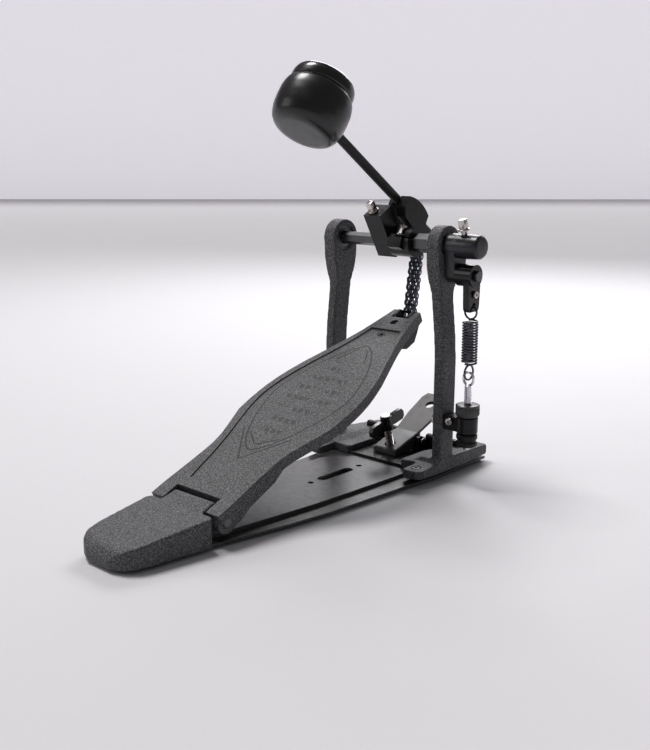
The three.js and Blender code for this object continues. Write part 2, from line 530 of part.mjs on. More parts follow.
// ---- spring side: rocker hub, swivel link, spring and tension rod ----
const SWIVEL_Z = SHAFT_Z - ROCKER_R
const ROCKER_HUB_R = 9.3
let rockerHub = turned(
  [[0, 58.4], [ROCKER_HUB_R, 58.4], [ROCKER_HUB_R, 76], [8.8, 84.6], [7.2, 86.4], [0, 86.6]],
    [0, 0, SHAFT_Z], [1, 0, 0], 32)
const arm = [
  ...circle(0, SWIVEL_Z, 6.6, 12, 180, 180), [8.6, SHAFT_Z - 2], [-8.6, SHAFT_Z - 2]
]
rockerHub = union(rockerHub, slabX(arm, 58.8, 67))
rockerHub = rockerHub.subtract(slabX(hex.map(([y, z]) => [y * 1.06, SHAFT_Z + (z - SHAFT_Z) * 1.06]), 50,
  79.5))
rockerHub = rockerHub.subtract(cylinder([50, 0, SWIVEL_Z], [78, 0, SWIVEL_Z], 2.8, 2.8, 16))
piece('rocker_hub', rockerHub, BLACK, rotor)
const KEY_LEAN = [-Math.sin(deg(16)), Math.cos(deg(16))]
const hubTop = [KEY_LEAN[0] * ROCKER_HUB_R, SHAFT_Z + KEY_LEAN[1] * ROCKER_HUB_R]
key(72, hubTop, KEY_LEAN, 'rocker_bolt', 3)
const swivelPin = union(
  cylinder([59.4, 0, SWIVEL_Z], [83.2, 0, SWIVEL_Z], 2.5, 2.5, 16),
  slabX(circle(0, SWIVEL_Z, 4.3, 6, 90), 82.2, 84.6))
piece('swivel_pin', swivelPin, NICKEL, rotor)
let strap = union(
  cylinder([67.4, 0, SWIVEL_Z], [81.8, 0, SWIVEL_Z], 8.4, 8.4, 32),
  slabX([[-5, 135.6], [5, 135.6], [6.6, 137.6], [7, 142], [7.8, SWIVEL_Z], [-7.8, SWIVEL_Z], [-7, 142],
    [-6.6, 137.6]],
    75.4, 80.6))
strap = strap.subtract(cylinder([60, 0, SWIVEL_Z], [90, 0, SWIVEL_Z], 2.8, 2.8, 16))
strap = strap.subtract(cylinder([78.6, 0, 148.6], [83, 0, 148.6], 1.8, 1.8, 14))
strap = strap.subtract(cylinder([70, 0, HOOK_TOP_Z + HOOK_TOP_R], [90, 0, HOOK_TOP_Z + HOOK_TOP_R], 1.9,
  1.9, 16))
piece('swivel_link', strap, BLACK, swivel)
piece('link_screw', union(
  cylinder([79, 0, 148.6], [81.2, 0, 148.6], 1.5, 1.5, 14),
    cylinder([80.9, 0, 148.6], [82.8, 0, 148.6], 2.7, 2.7, 18))
  .subtract(cylinder([82, 0, 148.6], [84, 0, 148.6], 1.3, 1.3, 6)), NICKEL, swivel)
const coilTurns = 15
const coilPoints = []
const coilSteps = coilTurns * 12
for (let i = 0; i <= coilSteps; i++) {
  const a = deg(30 * i)
  coilPoints.push(new THREE.Vector3(
    SPRING_X + (COIL_R - COIL_WIRE) * Math.cos(a), (COIL_R - COIL_WIRE) * Math.sin(a),
    COIL_BOTTOM + COIL_WIRE + (COIL_TOP - COIL_BOTTOM - 2 * COIL_WIRE) * i / coilSteps))
}
const wireShape = new THREE.Shape()
wireShape.absarc(0, 0, COIL_WIRE, 0, Math.PI * 2)
const coil = solid(new THREE.ExtrudeGeometry(wireShape, {
  steps: coilSteps, curveSegments: 3, extrudePath: new THREE.CatmullRomCurve3(coilPoints)
}))
piece('spring_coil', coil, SPRING_BLACK, swivel)
const loop = (x, z, radius, wire, acrossX) => {
  const m = new THREE.Matrix4().makeRotationX(Math.PI / 2)
  if (!acrossX) m.premultiply(new THREE.Matrix4().makeRotationZ(Math.PI / 2))
  m.setPosition(x, 0, z)
  return solid(new THREE.TorusGeometry(radius, wire, 8, 28), m)
}
piece('spring_hook_top', loop(SPRING_X, HOOK_TOP_Z, HOOK_TOP_R, COIL_WIRE, true), SPRING_BLACK, swivel)
piece('spring_hook_bottom', loop(SPRING_X, EYE_Z + HOOK_LOW_R, HOOK_LOW_R, COIL_WIRE, false),
  SPRING_BLACK, springEnd)

// tension rod: an eye on a threaded rod, the adjusting nut above the bracket and the lock nut below
const atSpring = list => list.map(([x, y]) => [SPRING_X + x, y])
let tension = union(
  slabY(stadium([SPRING_X, EYE_Z], [SPRING_X, EYE_Z + 1.5], 5.3, 10), -1.2, 1.2),
  cylinder([SPRING_X, 0, 28.5], [SPRING_X, 0, 79.6], TENSION_R, TENSION_R, 20))
tension = tension.subtract(slabY(stadium([SPRING_X, EYE_Z], [SPRING_X, EYE_Z + 1.5], 3.3, 8), -4, 4))
piece('tension_rod', tension, CHROME)
const drilled = (body, r) => body.subtract(cylinder([SPRING_X, 0, 0], [SPRING_X, 0, 100], r, r, 20))
const knurl = []
for (let i = 0; i < 48; i++) {
  const r = i % 2 ? 9.3 : 8.8
  knurl.push([r * Math.cos(deg(7.5 * i)), r * Math.sin(deg(7.5 * i))])
}
const nut = union(
  slabZ(atSpring(knurl), 56.4, 62.6),
  turned([[0, 55.3], [8.4, 55.3], [8.4, 62.6], [9.2, 63], [9.2, 64], [8.6, 64.5], [0, 64.5]],
    [SPRING_X, 0, 0], [0, 0, 1], 28))
piece('tension_nut', drilled(nut, TENSION_R + GAP), SATIN, adjuster)
const bracketRound = turned(
  [[0, 42], [7.4, 42], [8.2, 42.8], [8.2, 54.2], [7.4, 55], [0, 55]], [SPRING_X, 0, 0], [0, 0, 1], 28)
let springBracket = union(bracketRound, slabY([[60.4, 43], [75, 43], [75, 54], [60.4, 54]], -6.2, 6.2))
springBracket = springBracket.subtract(cylinder([60, 0, 48], [68.4, 0, 48], 2.9, 2.9, 16))
springBracket = springBracket.subtract(cylinder([66.4, -10, 50], [66.4, -2.9, 50], 1.9, 1.9, 14))
piece('spring_bracket', drilled(springBracket, TENSION_R + GAP), BLACK)
piece('bracket_bolt', union(
  cylinder([48.6, 0, 48], [67.6, 0, 48], 2.6, 2.6, 16), slabX(circle(0, 48, 5, 6, 90), 47.4, 50.8)), NICKEL)
piece('bracket_screw', union(
  cylinder([66.4, -7, 50], [66.4, -3.1, 50], 1.6, 1.6, 14),
    cylinder([66.4, -8.6, 50], [66.4, -6.5, 50], 2.8, 2.8, 18))
  .subtract(cylinder([66.4, -10, 50], [66.4, -7.4, 50], 1.4, 1.4, 6)), NICKEL)
const lockProfile = [[0, 31.5], [7, 31.5], [8.1, 32.6], [8.1, 35], [7.2, 35.8], [7.2, 37], [8.1, 37.8],
  [8.1, 40.8], [7.4, 41.6], [0, 41.6]]
piece('lock_nut', drilled(turned(lockProfile, [SPRING_X, 0, 0], [0, 0, 1], 28), TENSION_R + GAP), BLACK)

// ---- hoop clamp: a rocking jaw on a cross pin, pressed by a tilted wing bolt ----
const bendZ = JAW_FRONT[1] + (JAW_BEND - JAW_FRONT[0]) * JAW_SLOPE
const jawTop = y => y < JAW_BEND ? bendZ - (JAW_BEND - y) * JAW_SLOPE : bendZ + (y - JAW_BEND) * JAW_REAR_SLOPE
const jawSide = [
  JAW_FRONT, [JAW_BEND, jawTop(JAW_BEND)], [JAW_END, jawTop(JAW_END)],
  [JAW_END + 1, jawTop(JAW_END) - 2.4], [JAW_BEND, jawTop(JAW_BEND) - 2.6],
    [JAW_FRONT[0] + 0.4, JAW_FRONT[1] - 2.3]
]
const jawPlan = mirrored([[10.6, -4], [10.8, JAW_BEND - 2], [13.4, 46], [13.4, JAW_END - 5],
  [9, JAW_END + 4]])
let jaw = slabX(jawSide, -20, 20).intersect(slabZ(jawPlan, 0, 80))
const jawCheek = [
  [-3.4, 9.9], [-3.4, 14], [JAW_BEND, jawTop(JAW_BEND) - 0.4], [30, 24.6], [30, 19], [28.6, 13.6],
    [24, 12.4], [18, 10.2]
]
for (const side of [-1, 1]) jaw = union(jaw,
  slabX(jawCheek, side < 0 ? -11.4 : 9.2, side < 0 ? -9.2 : 11.4))
jaw = union(jaw, slabX([[-3.4, 9.9], [-1.4, 9.9], [-1.4, 14.4], [-3.4, 14]], -11.4, 11.4))
jaw = jaw.subtract(cylinder([-20, ...JAW_PIN], [20, ...JAW_PIN], 2, 2, 16))
jaw = jaw.subtract(cylinder(onBolt3(-3), onBolt3(14), 4.7, 4.7, 20))
jaw = jaw.subtract(slabZ(circle(0, 0, 4, 20).map(([x, y]) => [x, JAW_END - 12 + y]), 20, 80))
piece('hoop_jaw', jaw, SATIN, clamp)
piece('jaw_pin', union(
  cylinder([-17.4, ...JAW_PIN], [17.4, ...JAW_PIN], 1.7, 1.7, 14),
  cylinder([17.2, ...JAW_PIN], [18.2, ...JAW_PIN], 2.8, 2.8, 14),
  cylinder([-18.2, ...JAW_PIN], [-17.2, ...JAW_PIN], 2.8, 2.8, 14)), NICKEL)
piece('clamp_stem', union(
  cylinder(onBolt3(-3.4), onBolt3(30.2), 3.1, 3.1, 20),
  cylinder(onBolt3(29.2), onBolt3(30.4), 4, 4, 20)), CHROME, wingBolt)
const blade = mirrored([[3, 19.6], [8, 18.6], [18.4, 18.2], [20.8, 20.2], [21, 24.4], [18.6, 27.6],
  [8, 27.8], [3, 26.4]])
const wings = union(
  slabX(orient(blade.map(([w, h]) => onBolt(w, h)), -1), -1.8, 1.8),
  cylinder(onBolt3(17.8), onBolt3(29), 5.4, 4.7, 20))
  .subtract(cylinder(onBolt3(10), onBolt3(40), 3.15, 3.15, 20))
piece('wing_head', wings, BLACK, wingBolt)

export default pedal
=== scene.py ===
import json
import math

import bmesh
import bpy
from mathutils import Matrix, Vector


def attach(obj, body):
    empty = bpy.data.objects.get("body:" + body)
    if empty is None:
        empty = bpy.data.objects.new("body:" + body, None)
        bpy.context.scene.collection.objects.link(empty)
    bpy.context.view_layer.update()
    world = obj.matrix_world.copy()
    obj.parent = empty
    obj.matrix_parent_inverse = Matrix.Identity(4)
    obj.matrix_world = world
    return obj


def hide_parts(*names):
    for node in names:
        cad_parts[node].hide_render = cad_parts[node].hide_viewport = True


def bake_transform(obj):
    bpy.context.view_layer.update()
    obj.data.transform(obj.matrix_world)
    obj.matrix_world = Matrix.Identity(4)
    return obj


MM = 0.001
X_AXIS = Vector((1, 0, 0))
Y_AXIS = Vector((0, 1, 0))
Z_AXIS = Vector((0, 0, 1))

# ---------------------------------------------------------------- main dimensions, in millimetres
SHAFT_Z = 183.6
BEATER_LEAN = math.radians(55.7)
RISE = Vector((0, math.cos(BEATER_LEAN), math.sin(BEATER_LEAN)))
ALONG = Vector((0, -math.sin(BEATER_LEAN), math.cos(BEATER_LEAN)))
HINGE = (-206, 16.6)                # heel hinge (Y, Z)
JAW_PIN = (26, 17)                  # cross pin of the hoop clamp (Y, Z)
ANCHOR = (36.91, 181.02)            # chain's upper pin (Y, Z)
TOE_PIN = (26.88, 118.32)           # chain's lower pin (Y, Z)
CHAIN_LINKS = 5
CHAIN_ROW_X = 2.9                   # each chain row's distance from the middle
SPRING_X = 78
SWIVEL_Z = SHAFT_Z - 21.2
WIRE_R = 0.8
COIL_R = 5.4
FOOT_SCREW = (49.5, -25.5)          # (X, Y)
BRACKET_Z = 48                      # bolt that holds the spring bracket to its post
BEARING_X = 51.5

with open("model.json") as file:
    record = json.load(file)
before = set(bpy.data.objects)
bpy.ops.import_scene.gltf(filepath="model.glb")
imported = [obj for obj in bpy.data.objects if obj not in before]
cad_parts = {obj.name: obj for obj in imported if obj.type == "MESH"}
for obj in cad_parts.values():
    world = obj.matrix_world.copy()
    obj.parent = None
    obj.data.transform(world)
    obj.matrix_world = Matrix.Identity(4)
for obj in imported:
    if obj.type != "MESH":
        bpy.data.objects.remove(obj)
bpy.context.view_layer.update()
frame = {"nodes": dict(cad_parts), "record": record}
cad = frame["nodes"]
body_of_node = {}
for body_name, members in frame["record"]["behaviour"]["bodies"].items():
    for member in members:
        body_of_node[member] = body_name


# ---------------------------------------------------------------- mesh helpers
def point(x, y, z):
    return Vector((x * MM, y * MM, z * MM))


def make_object(name, bm, smooth_angle=32):
    bmesh.ops.recalc_face_normals(bm, faces=bm.faces)
    mesh = bpy.data.meshes.new(name)
    bm.to_mesh(mesh)
    bm.free()
    for polygon in mesh.polygons:
        polygon.use_smooth = True
    mesh.set_sharp_from_angle(angle=math.radians(smooth_angle))
    obj = bpy.data.objects.new(name, mesh)
    bpy.context.scene.collection.objects.link(obj)
    return obj


def bevel(obj, width, segments=3, angle=30):
    modifier = obj.modifiers.new("rounded_edges", "BEVEL")
    modifier.width = width * MM
    modifier.segments = segments
    modifier.limit_method = "ANGLE"
    modifier.angle_limit = math.radians(angle)
    modifier.harden_normals = True
    return obj


def bake_modifiers(obj):
    bpy.context.view_layer.update()
    evaluated = obj.evaluated_get(bpy.context.evaluated_depsgraph_get())
    mesh = bpy.data.meshes.new_from_object(evaluated)
    obj.modifiers.clear()
    obj.data = mesh
    return obj


def settle(obj, material, slot, *nodes):
    """Gives a piece its material and its CAD body, and hides the CAD nodes it stands for."""
    if not obj.data.materials:
        obj.data.materials.append(material)
    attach(obj, body_of_node[nodes[0]])
    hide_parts(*nodes)
    return obj


def add_prism(bm, outline, origin, u, v, w, low, high, material_index=0):
    """Extrudes an outline given in (u, v) millimetres between two distances along w."""
    rings = []
    for t in (low, high):
        rings.append([bm.verts.new(origin + (u * a + v * b + w * t) * MM) for a, b in outline])
    count = len(outline)
    faces = [bm.faces.new(rings[0][::-1]), bm.faces.new(rings[1])]
    for i in range(count):
        j = (i + 1) % count
        faces.append(bm.faces.new((rings[0][i], rings[0][j], rings[1][j], rings[1][i])))
    for face in faces:
        face.material_index = material_index
    return faces


def add_lathe(bm, profile, base, direction, steps=64, material_index=0):
    """Turns a profile of (radius, height) about a line; a zero radius closes it."""
    turn = Vector((0, 0, 1)).rotation_difference(direction.normalized())
    rings = []
    for radius, height in profile:
        if radius < 1e-6:
            rings.append([bm.verts.new(base + turn @ Vector((0, 0, height * MM)))])
            continue
        ring = []
        for i in range(steps):
            a = 2 * math.pi * i / steps
            ring.append(bm.verts.new(base + turn @ Vector(
                (radius * math.cos(a) * MM, radius * math.sin(a) * MM, height * MM))))
        rings.append(ring)
    closed = profile[0][0] > 1e-6
    pairs = list(zip(rings, rings[1:])) + ([(rings[-1], rings[0])] if closed else [])
    for low, high in pairs:
        for i in range(steps):
            j = (i + 1) % steps
            corners = [low[i % len(low)], low[j % len(low)], high[j % len(high)], high[i % len(high)]]
            unique = []
            for corner in corners:
                if corner not in unique:
                    unique.append(corner)
            face = bm.faces.new(unique)
            face.material_index = material_index


def add_tube(bm, path, radius, sides=14, cyclic=False, material_index=0):
    """Sweeps a round wire along points in metres."""
    count = len(path)
    normal = None
    rings = []
    for i, place in enumerate(path):
        if cyclic:
            tangent = path[(i + 1) % count] - path[i - 1]
        else:
            tangent = path[min(i + 1, count - 1)] - path[max(i - 1, 0)]
        tangent.normalize()
        if normal is None:
            normal = tangent.orthogonal().normalized()
        normal = (normal - tangent * normal.dot(tangent)).normalized()
        side = tangent.cross(normal)
        ring = []
        for k in range(sides):
            a = 2 * math.pi * k / sides
            ring.append(bm.verts.new(place + (normal * math.cos(a) + side * math.sin(a)) * radius * MM))
        rings.append(ring)
    spans = count if cyclic else count - 1
    for i in range(spans):
        low, high = rings[i], rings[(i + 1) % count]
        shift = 0
        if cyclic and i == count - 1:
            shift = min(range(sides), key=lambda s: (low[0].co - high[s].co).length)
        for k in range(sides):
            m = (k + 1) % sides
            face = bm.faces.new((low[k], low[m], high[(m + shift) % sides], high[(k + shift) % sides]))
            face.material_index = material_index
    if not cyclic:
        bm.faces.new(rings[0][::-1]).material_index = material_index
        bm.faces.new(rings[-1]).material_index = material_index


def arc(cx, cy, radius, start, end, steps):
    out = []
    for i in range(steps + 1):
        a = math.radians(start + (end - start) * i / steps)
        out.append((cx + radius * math.cos(a), cy + radius * math.sin(a)))
    return out


def rounded(profile, radius=0.6):
    """Rounds the corners of a lathe profile that starts and ends on the axis."""
    out = [profile[0]]
    for before, here, after in zip(profile, profile[1:], profile[2:]):
        a, b, c = (Vector(p) for p in (before, here, after))
        r = min(radius, (a - b).length * 0.4, (c - b).length * 0.4)
        start = b + (a - b).normalized() * r
        end = b + (c - b).normalized() * r
        for i in range(5):
            t = i / 4
            p = start * (1 - t) ** 2 + b * 2 * t * (1 - t) + end * t ** 2
            out.append((p.x, p.y))
    out.append(profile[-1])
    return out


def hexagon_outline(radius, start=90):
    """Corners of a hexagon in the plane of the two axes that a prism is given."""
    return [(radius * math.cos(math.radians(start + 60 * i)),
        radius * math.sin(math.radians(start + 60 * i)))
            for i in range(6)]


def cad_copy(name, node):
    bm = bmesh.new()
    bm.from_mesh(cad[node].data)
    bmesh.ops.remove_doubles(bm, verts=bm.verts, dist=2e-6)
    bmesh.ops.dissolve_limit(bm, angle_limit=math.radians(0.6), verts=bm.verts, edges=bm.edges)
    return make_object(name, bm)


def cast(name, nodes, material, slot, voxel, passes=4):
    """A casting with soft edges: the nodes' forms grown together, remeshed and relaxed."""
    parts = [cad_copy(name, node) for node in nodes]
    obj = parts[0]
    bm = bmesh.new()
    for part in parts:
        bm.from_mesh(part.data)
    bm.to_mesh(obj.data)
    bm.free()
    for part in parts[1:]:
        bpy.data.objects.remove(part)
    remesh = obj.modifiers.new("skin", "REMESH")
    remesh.mode = "VOXEL"
    remesh.voxel_size = voxel * MM
    relax = obj.modifiers.new("relax", "SMOOTH")
    relax.factor = 0.5
    relax.iterations = passes
    bake_modifiers(obj)
    for polygon in obj.data.polygons:
        polygon.use_smooth = True
    obj.data.materials.clear()
    return settle(obj, material, slot, *nodes)


def machined(name, node, material, slot, width=0.5, segments=2):
    """A cut or pressed piece with small rounded edges."""
    obj = cad_copy(name, node)
    obj.data.materials.clear()
    bevel(obj, width, segments, 28)
    return settle(obj, material, slot, node)


# ---------------------------------------------------------------- materials
class Shader:
    """Small wrapper that wires a Principled material from procedural textures."""

    def __init__(self, name, base, metallic=0.0, rough=0.5, coat=0.0, coat_rough=0.2):
        self.material = bpy.data.materials.new(name)
        self.material.use_nodes = True
        self.tree = self.material.node_tree
        self.surface = self.tree.nodes["Principled BSDF"]
        self.surface.inputs["Base Color"].default_value = (*base, 1)
        self.surface.inputs["Metallic"].default_value = metallic
        self.surface.inputs["Roughness"].default_value = rough
        self.surface.inputs["Coat Weight"].default_value = coat
        self.surface.inputs["Coat Roughness"].default_value = coat_rough
        self.place = self.tree.nodes.new("ShaderNodeTexCoord").outputs["Object"]
        self.height = None

    def node(self, kind, **values):
        made = self.tree.nodes.new(kind)
        for key, value in values.items():
            setattr(made, key, value)
        return made

    def link(self, source, target):
        self.tree.links.new(source, target)

    def stretched(self, scale):
        mapping = self.node("ShaderNodeMapping")
        mapping.inputs["Scale"].default_value = scale
        self.link(self.place, mapping.inputs["Vector"])
        return mapping.outputs["Vector"]

    def noise(self, scale, detail=3.0, rough=0.55, vector=None):
        made = self.node("ShaderNodeTexNoise")
        made.inputs["Scale"].default_value = scale
        made.inputs["Detail"].default_value = detail
        made.inputs["Roughness"].default_value = rough
        self.link(vector or self.place, made.inputs["Vector"])
        return made.outputs["Fac"]

    def cells(self, scale, vector=None):
        made = self.node("ShaderNodeTexVoronoi")
        made.inputs["Scale"].default_value = scale
        self.link(vector or self.place, made.inputs["Vector"])
        return made

    def ramp(self, value, low, high, first=0.0, last=1.0):
        made = self.node("ShaderNodeMapRange")
        made.inputs["From Min"].default_value = low
        made.inputs["From Max"].default_value = high
        made.inputs["To Min"].default_value = first
        made.inputs["To Max"].default_value = last
        self.link(value, made.inputs["Value"])
        return made.outputs["Result"]

    def math(self, operation, a, b=0.0):
        made = self.node("ShaderNodeMath", operation=operation)
        for socket, value in zip(made.inputs, (a, b)):
            if isinstance(value, (int, float)):
                socket.default_value = value
            else:
                self.link(value, socket)
        return made.outputs["Value"]

    def mix(self, factor, first, second):
        made = self.node("ShaderNodeMix", data_type="RGBA")
        if isinstance(factor, (int, float)):
            made.inputs[0].default_value = factor
        else:
            self.link(factor, made.inputs[0])
        for socket, value in ((made.inputs[6], first), (made.inputs[7], second)):
            if isinstance(value, tuple):
                socket.default_value = (*value, 1)
            else:
                self.link(value, socket)
        return made.outputs[2]

    def colour(self, value):
        self.link(value, self.surface.inputs["Base Color"])

    def roughness(self, value):
        self.link(value, self.surface.inputs["Roughness"])

    def bump(self, value, distance, strength=1.0):
        made = self.node("ShaderNodeBump")
        made.inputs["Distance"].default_value = distance * MM
        made.inputs["Strength"].default_value = strength
        self.link(value, made.inputs["Height"])
        if self.height:
            self.link(self.height, made.inputs["Normal"])
        self.height = made.outputs["Normal"]
        self.link(self.height, self.surface.inputs["Normal"])


def powder_coat(name, shade, engraving=None):
    """Speckled dark grey powder coat: orange-peel grain with pale metallic flecks."""
    s = Shader(name, shade, 0.0, 0.62)
    grain = s.cells(1050)
    fleck = s.ramp(grain.outputs["Distance"], 0.1, 0.38, 1.0, 0.0)
    rare = s.ramp(s.noise(640, 2.0), 0.46, 0.6)
    fleck = s.math("MULTIPLY", fleck, rare)
    wide = s.ramp(s.noise(38, 4.0), 0.3, 0.7)
    dark = tuple(c * 0.55 for c in shade)
    light = tuple(c * 0.9 for c in shade)
    body = s.mix(wide, dark, light)
    salt = s.mix(s.ramp(s.noise(1000, 1.5), 0.44, 0.62), body, tuple(min(1, c * 2.9) for c in shade))
    tone = s.mix(fleck, salt, (0.34, 0.34, 0.37))
    s.bump(s.noise(820, 3.0), 0.2, 0.7)
    if engraving:
        groove = engraving(s)
        tone = s.mix(groove, tone, tuple(c * 0.2 for c in shade))
        s.bump(s.math("MULTIPLY", groove, -1.0), 0.5, 0.9)
    s.colour(tone)
    s.roughness(s.ramp(fleck, 0.0, 1.0, 0.66, 0.34))
    return s.material


def lacquer(name, shade, rough=0.42, grain=700, peel=0.03, coat=0.0, wear=0.0, sheen=0.3):
    """Satin painted or plated metal with a fine texture and soft handling marks."""
    s = Shader(name, shade, 0.0, rough, coat, 0.12)
    s.surface.inputs["Specular IOR Level"].default_value = sheen
    cloud = s.ramp(s.noise(45, 5.0), 0.3, 0.72)
    tone = s.mix(cloud, tuple(c * 0.8 for c in shade), tuple(c * 1.25 for c in shade))
    scratches = s.ramp(s.noise(160, 2.0, 0.5, s.stretched((9, 0.4, 0.4))), 0.72, 0.78)
    tone = s.mix(s.math("MULTIPLY", scratches, wear), tone, tuple(min(1, c * 2 + 0.01) for c in shade))
    s.colour(tone)
    s.roughness(s.ramp(s.noise(160, 4.0), 0.3, 0.7, rough - 0.07, rough + 0.09))
    s.bump(s.noise(grain, 2.0), peel, 0.6)
    return s.material


def metal(name, shade, rough, brush=None, haze=0.08, bump=0.004):
    """Bare metal: plated or brushed, with faint haze and hairlines."""
    s = Shader(name, shade, 1.0, rough)
    vector = s.stretched(brush) if brush else None
    lines = s.noise(420, 5.0, 0.65, vector)
    cloud = s.ramp(s.noise(70, 4.0), 0.3, 0.7)
    s.colour(s.mix(cloud, tuple(c * 0.86 for c in shade), tuple(min(1, c * 1.06) for c in shade)))
    s.roughness(s.ramp(lines, 0.25, 0.75, max(0.03, rough - haze), rough + haze))
    s.bump(lines, bump, 0.5)
    return s.material


def moulded(name, shade, rough, coat=0.0, dust=0.03):
    """Moulded plastic with a trace of dust and a very fine ripple."""
    s = Shader(name, shade, 0.0, rough, coat, 0.08)
    lint = s.ramp(s.noise(240, 6.0, 0.75), 0.62, 0.78)
    s.colour(s.mix(s.math("MULTIPLY", lint, dust), shade, (0.22, 0.22, 0.23)))
    s.roughness(s.ramp(s.noise(110, 4.0), 0.3, 0.7, rough - 0.05, rough + 0.1))
    s.bump(s.noise(55, 2.0), 0.02, 0.3)
    return s.material


def ribbed_rubber(name):
    s = Shader(name, (0.012, 0.012, 0.013), 0.0, 0.85)
    ribs = s.node("ShaderNodeTexWave", wave_type="BANDS", bands_direction="Y")
    ribs.inputs["Scale"].default_value = 90
    s.link(s.place, ribs.inputs["Vector"])
    s.bump(ribs.outputs["Fac"], 0.4, 0.8)
    s.bump(s.noise(800, 2.0), 0.05, 0.5)
    s.colour(s.mix(s.ramp(s.noise(300, 4.0), 0.35, 0.7), (0.009, 0.009, 0.009), (0.03, 0.03, 0.03)))
    return s.material


def scaled_hub(name, shade, rough):
    """Bluish black hub with a short scale of ticks cut around it below the key bolt."""
    s = Shader(name, shade, 0.0, rough)
    cloud = s.ramp(s.noise(60, 4.0), 0.3, 0.7)
    split = s.node("ShaderNodeSeparateXYZ")
    s.link(s.place, split.inputs["Vector"])
    angle = s.math("ARCTAN2", split.outputs["Y"], s.math("SUBTRACT", split.outputs["Z"], SHAFT_Z * MM))
    tick = s.math("LESS_THAN", s.math("PINGPONG", angle, 0.075), 0.018)
    span = s.math("LESS_THAN", s.math("ABSOLUTE", s.math("ADD", angle, 0.75)), 0.55)
    band = s.math("LESS_THAN", s.math("ABSOLUTE", s.math("SUBTRACT", split.outputs["X"], 0.0665)),
        0.0022)
    cut = s.math("MULTIPLY", tick, s.math("MULTIPLY", span, band))
    tone = s.mix(cloud, tuple(c * 0.8 for c in shade), tuple(c * 1.3 for c in shade))
    s.colour(s.mix(cut, tone, (0.16, 0.16, 0.17)))
    s.roughness(s.ramp(s.noise(160, 4.0), 0.3, 0.7, rough - 0.06, rough + 0.08))
    s.bump(s.math("MULTIPLY", cut, -1.0), 0.3, 0.8)
    s.bump(s.noise(500, 2.0), 0.02, 0.5)
    return s.material


BOARD_TILT = math.atan(0.4254)
BOARD_ORIGIN = point(0, -194.4, 32)
BOARD_ALONG = Vector((0, math.cos(BOARD_TILT), math.sin(BOARD_TILT)))
BOARD_UP = Vector((0, -math.sin(BOARD_TILT), math.cos(BOARD_TILT)))


def board_engraving(s):
    """A long rounded diamond, short strokes near its heel end, a step line and rows of grip dashes."""
    split = s.node("ShaderNodeSeparateXYZ")
    s.link(s.place, split.inputs["Vector"])
    across = s.math("ABSOLUTE", split.outputs["X"])
    dot = s.node("ShaderNodeVectorMath", operation="DOT_PRODUCT")
    s.link(s.place, dot.inputs[0])
    dot.inputs[1].default_value = BOARD_ALONG
    station = s.math("SUBTRACT", dot.outputs["Value"], BOARD_ORIGIN.dot(BOARD_ALONG))
    from_middle = s.math("ABSOLUTE", s.math("SUBTRACT", station, 0.112))
    reach = s.math("ADD", s.math("POWER", s.math("DIVIDE", across, 0.035), 1.5),
                   s.math("POWER", s.math("DIVIDE", from_middle, 0.070), 1.5))
    edge = s.math("ABSOLUTE", s.math("SUBTRACT", reach, 1.0))
    result = s.ramp(edge, 0.012, 0.024, 1.0, 0.0)
    # strokes: each runs from one (across, along) spot to another, in millimetres
    for x0, s0, x1, s1 in ((24, 62, 0, 31), (15.6, 60, 1, 49), (4, 178, 14, 160)):
        length = math.hypot(x1 - x0, s1 - s0)
        ux, us = (x1 - x0) / length, (s1 - s0) / length
        dx = s.math("SUBTRACT", across, x0 * MM)
        ds = s.math("SUBTRACT", station, s0 * MM)
        run = s.math("ADD", s.math("MULTIPLY", dx, ux), s.math("MULTIPLY", ds, us))
        off = s.math("ABSOLUTE",
            s.math("SUBTRACT", s.math("MULTIPLY", dx, us), s.math("MULTIPLY", ds, ux)))
        line = s.ramp(off, 0.0004, 0.0008, 1.0, 0.0)
        within = s.math("LESS_THAN", s.math("ABSOLUTE", s.math("SUBTRACT", run, length * MM / 2)),
            length * MM / 2)
        result = s.math("MAXIMUM", result, s.math("MULTIPLY", line, within))
    step = s.ramp(s.math("ABSOLUTE", s.math("SUBTRACT", station, 0.2075)), 0.0004, 0.0008, 1.0, 0.0)
    step = s.math("MULTIPLY", step, s.math("LESS_THAN", across, 0.0152))
    result = s.math("MAXIMUM", result, step)
    rows = s.math("LESS_THAN", s.math("PINGPONG", s.math("ADD", station, 0.002), 0.0068), 0.0022)
    slant = s.math("ADD", split.outputs["X"], s.math("MULTIPLY", station, 0.35))
    dashes = s.math("LESS_THAN", s.math("PINGPONG", slant, 0.0032), 0.0021)
    inside = s.math("ADD", s.math("DIVIDE", across, 0.0235), s.math("DIVIDE", from_middle, 0.075))
    inside = s.math("LESS_THAN", inside, 1.0)
    inside = s.math("MULTIPLY", inside, s.math("LESS_THAN", from_middle, 0.048))
    broken = s.math("GREATER_THAN", s.noise(85, 0.0), 0.38)
    pattern = s.math("MULTIPLY", s.math("MULTIPLY", rows, dashes), s.math("MULTIPLY", inside, broken))
    result = s.math("MAXIMUM", result, s.math("MULTIPLY", pattern, 0.8))
    dot_up = s.node("ShaderNodeVectorMath", operation="DOT_PRODUCT")
    s.link(s.place, dot_up.inputs[0])
    dot_up.inputs[1].default_value = BOARD_UP
    height = s.math("SUBTRACT", dot_up.outputs["Value"], BOARD_ORIGIN.dot(BOARD_UP))
    top = s.math("GREATER_THAN", height, -0.003)
    return s.math("MULTIPLY", s.math("MULTIPLY", result, top), 0.85)


